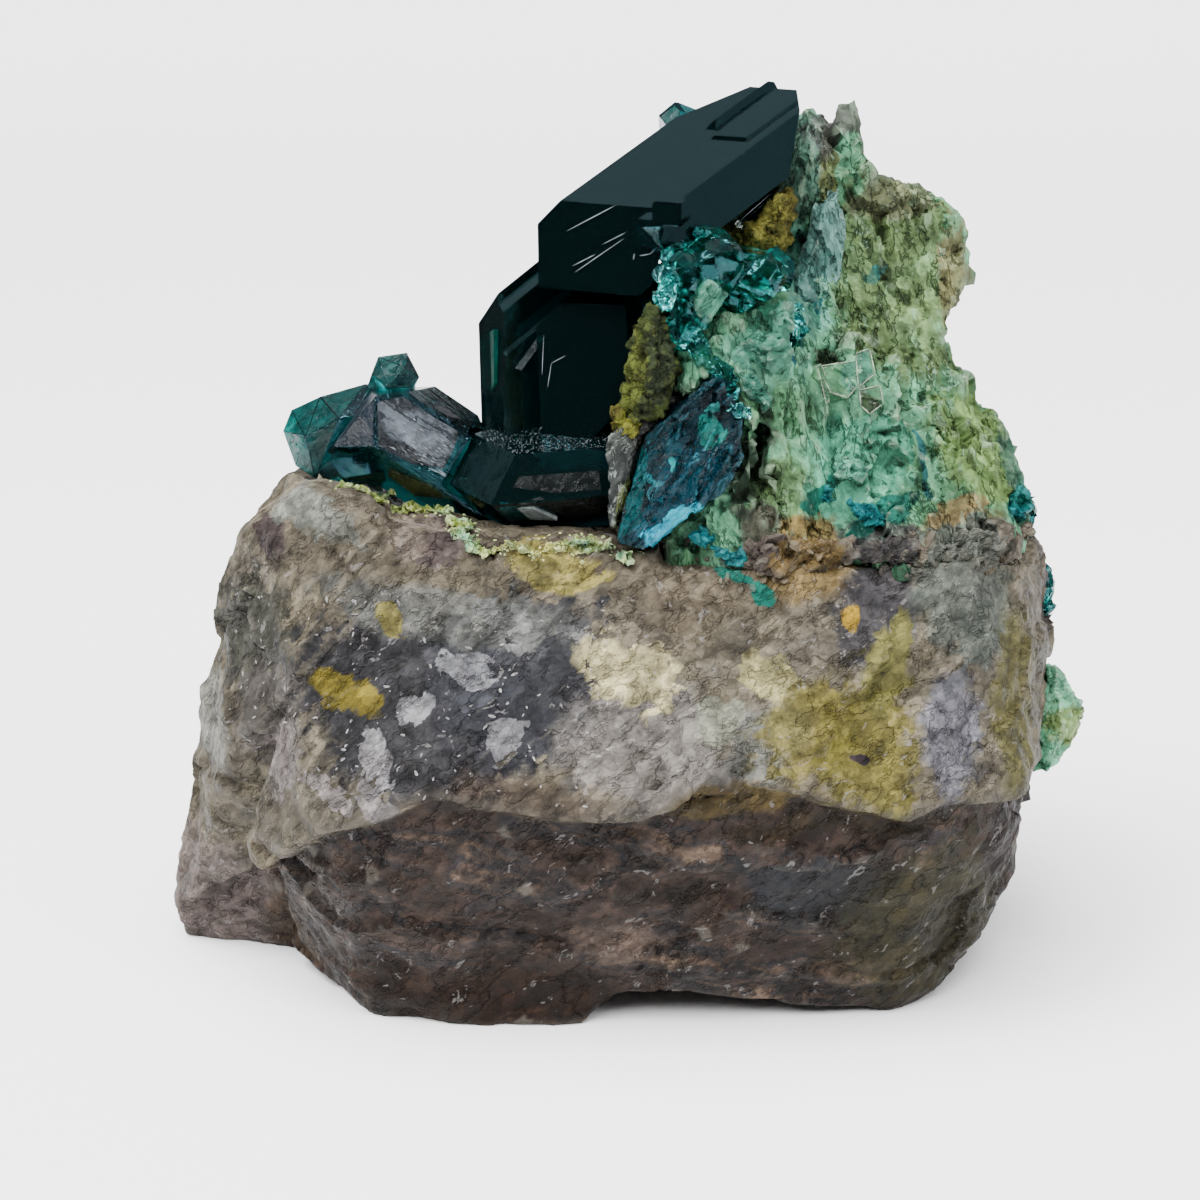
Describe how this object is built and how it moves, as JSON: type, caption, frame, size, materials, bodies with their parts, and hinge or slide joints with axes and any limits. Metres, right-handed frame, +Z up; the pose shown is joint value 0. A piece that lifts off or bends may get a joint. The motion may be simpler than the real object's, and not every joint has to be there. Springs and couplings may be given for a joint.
{
  "type": "dioptase crystal specimen",
  "caption": "Hand specimen: dark green prismatic crystals and a pale green crust wall grown on a rough undercut lump of grey quartz that stands on its own flat underside.",
  "frame": {"origin": "on the resting plane, under the middle of the specimen's bounding box", "axes": "+Z up from the resting face; the front, with the crystals, faces -Y; +X is the side of the crust ridge"},
  "size_m": [0.05, 0.0344, 0.0464],
  "materials": {
    "quartz": "rough broken quartz, slightly waxy",
    "crust": "dull granular crust",
    "dioptase": "glassy crystal faces, very dark green",
    "ochre": "earthy, matt",
    "mint": "translucent, waxy"
  },
  "bodies": {
    "root": {"quartz_matrix": "quartz", "green_crust_ridge": "crust", "dioptase_main_cluster": "dioptase", "dioptase_left_cluster": "dioptase", "dioptase_knob_cluster": "dioptase", "dioptase_blade": "dioptase", "quartz_shard": "quartz", "ochre_lump_upper": "ochre", "ochre_lump_lower": "ochre", "dioptase_edge_crystals": "dioptase", "mint_tooth": "mint"}
  },
  "joints": []
}
